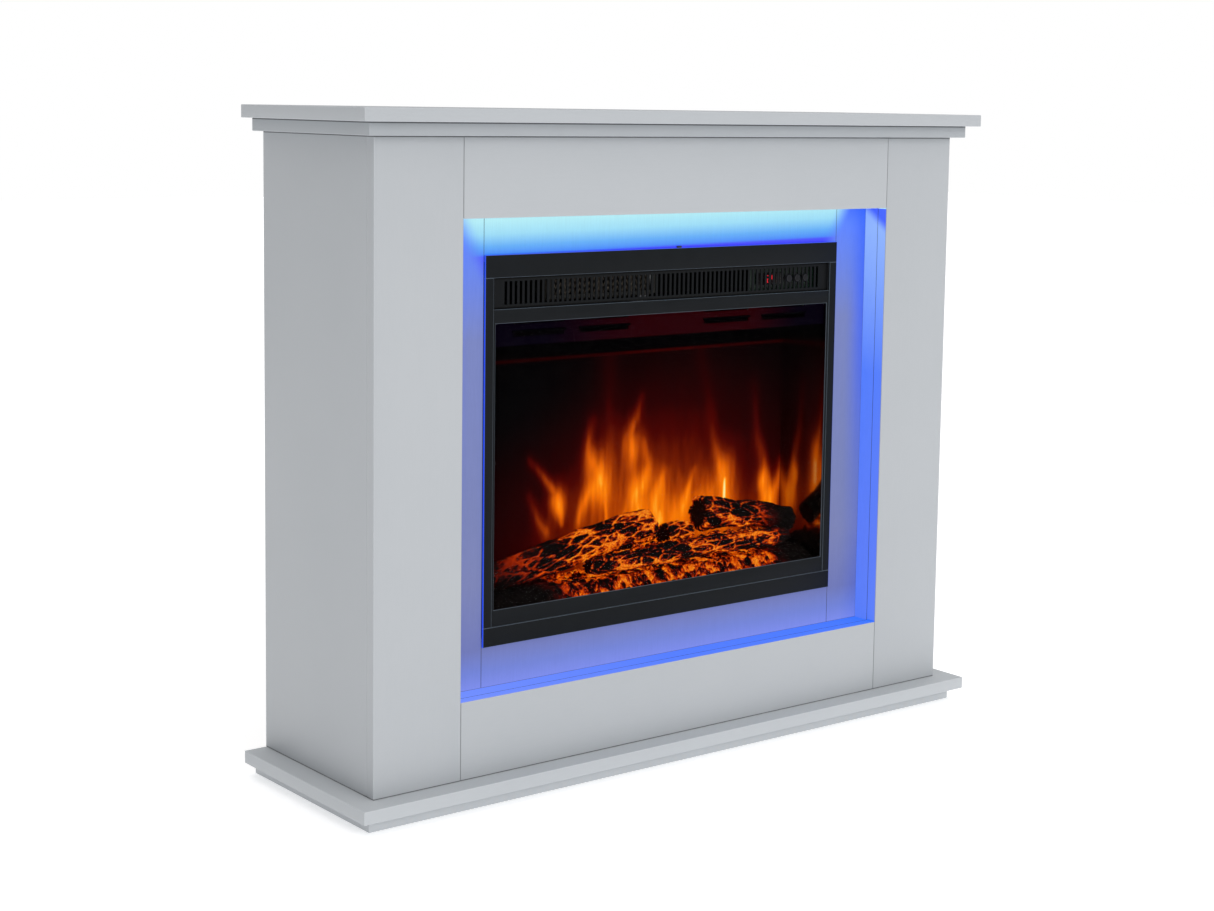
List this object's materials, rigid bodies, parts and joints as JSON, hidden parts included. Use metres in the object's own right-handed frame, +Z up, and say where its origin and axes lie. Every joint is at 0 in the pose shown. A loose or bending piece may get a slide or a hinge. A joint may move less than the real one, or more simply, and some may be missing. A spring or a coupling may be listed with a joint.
{
  "type": "electric fireplace",
  "caption": "Free-standing electric fireplace: white board surround with a lit recess around a black heater insert with vent grille, glass window, glowing logs and a turning flame spindle.",
  "frame": {"origin": "on the floor at the middle of the footprint of the top and base boards", "axes": "+X along the width, to the right seen from the front; the front faces -Y; +Z up"},
  "size_m": [1, 0.29, 0.84],
  "materials": {
    "white_board": "satin white painted fibreboard with a faint brushed grain",
    "recess_board": "satin white painted fibreboard, lit blue by the light strip",
    "raw_board": "raw fibreboard, sawn edges",
    "aluminium_profile": "anodised extrusion",
    "light_diffuser": "frosted silicone sleeve",
    "driver_plastic": "black moulded plastic",
    "casing_steel": "matt black stove paint",
    "fascia_steel": "satin black powder coat",
    "grille_plastic": "satin black moulded plastic",
    "window_glass": "clear toughened glass",
    "baffle_steel": "dark baffle catching the red flame light",
    "screen_acrylic": "smoked acrylic that carries the flame image",
    "charred_bark": "moulded resin, charred bark with glowing cracks",
    "ember_moulding": "translucent resin embers",
    "circuit_board": "green solder mask",
    "petal_foil": "bright foil petals",
    "zinc_steel": "zinc plated sheet",
    "wheel_aluminium": "pressed aluminium",
    "mica_card": "mica card with resistance wire",
    "display_plastic": "smoked red window over a two digit display",
    "button_plastic": "satin black cap"
  },
  "bodies": {
    "body": {"base_board": "white_board", "bay_floor": "casing_steel", "blower_motor": "zinc_steel", "blower_scroll": "zinc_steel", "cable_gland": "driver_plastic", "casing_back": "casing_steel", "casing_floor": "casing_steel", "casing_left": "casing_steel", "casing_right": "casing_steel", "casing_top": "casing_steel", "control_board": "circuit_board", "cornice_board": "white_board", "display_module": "display_plastic", "ember_bed": "ember_moulding", "ember_led_board": "circuit_board", "fascia_bottom_bar": "fascia_steel", "fascia_left_post": "fascia_steel", "fascia_right_post": "fascia_steel", "fascia_top_bar": "fascia_steel", "flame_screen": "screen_acrylic", "glass_frame": "fascia_steel", "glass_panel": "window_glass", "header_board": "white_board", "heater_element": "mica_card", "heater_guard": "zinc_steel", "infill_bottom": "recess_board", "infill_left": "recess_board", "infill_right": "recess_board", "infill_top": "recess_board", "insert_shelf": "raw_board", "led_channel": "aluminium_profile", "led_driver": "driver_plastic", "led_strip": "light_diffuser", "left_leg_board": "white_board", "left_recess_cheek": "recess_board", "left_side_panel": "white_board", "log_front": "charred_bark", "log_left": "charred_bark", "log_middle": "charred_bark", "log_right": "charred_bark", "lower_front_board": "white_board", "plinth": "white_board", "rear_bottom_rail": "raw_board", "rear_top_rail": "raw_board", "recess_ceiling": "recess_board", "recess_floor": "recess_board", "right_leg_board": "white_board", "right_recess_cheek": "recess_board", "right_side_panel": "white_board", "shelf_board": "white_board", "spindle_bearing": "zinc_steel", "spindle_motor": "zinc_steel", "thermal_cutout": "driver_plastic", "upper_baffle": "baffle_steel", "vent_grille": "grille_plastic"},
    "blower_wheel": {"blower_wheel": "wheel_aluminium"},
    "flame_spindle": {"flame_spindle": "petal_foil"},
    "power_button": {"power_button": "button_plastic"},
    "heat_button": {"heat_button": "button_plastic"},
    "flame_button": {"flame_button": "button_plastic"}
  },
  "joints": [
    {"name": "blower_spin", "type": "hinge", "parent": "body", "child": "blower_wheel", "pos_m": [-0.105, 0.002, 0.621], "axis": [1, 0, 0], "continuous": true},
    {"name": "spindle_spin", "type": "hinge", "parent": "body", "child": "flame_spindle", "pos_m": [0, 0.05387, 0.242], "axis": [1, 0, 0], "continuous": true},
    {"name": "power_press", "type": "slide", "parent": "body", "child": "power_button", "axis": [0, 1, 0], "range_m": [0, 0.0012], "stiffness_N_per_m": 400, "springref_m": -0.0006},
    {"name": "heat_press", "type": "slide", "parent": "body", "child": "heat_button", "axis": [0, 1, 0], "range_m": [0, 0.0012], "stiffness_N_per_m": 400, "springref_m": -0.0006},
    {"name": "flame_press", "type": "slide", "parent": "body", "child": "flame_button", "axis": [0, 1, 0], "range_m": [0, 0.0012], "stiffness_N_per_m": 400, "springref_m": -0.0006}
  ]
}
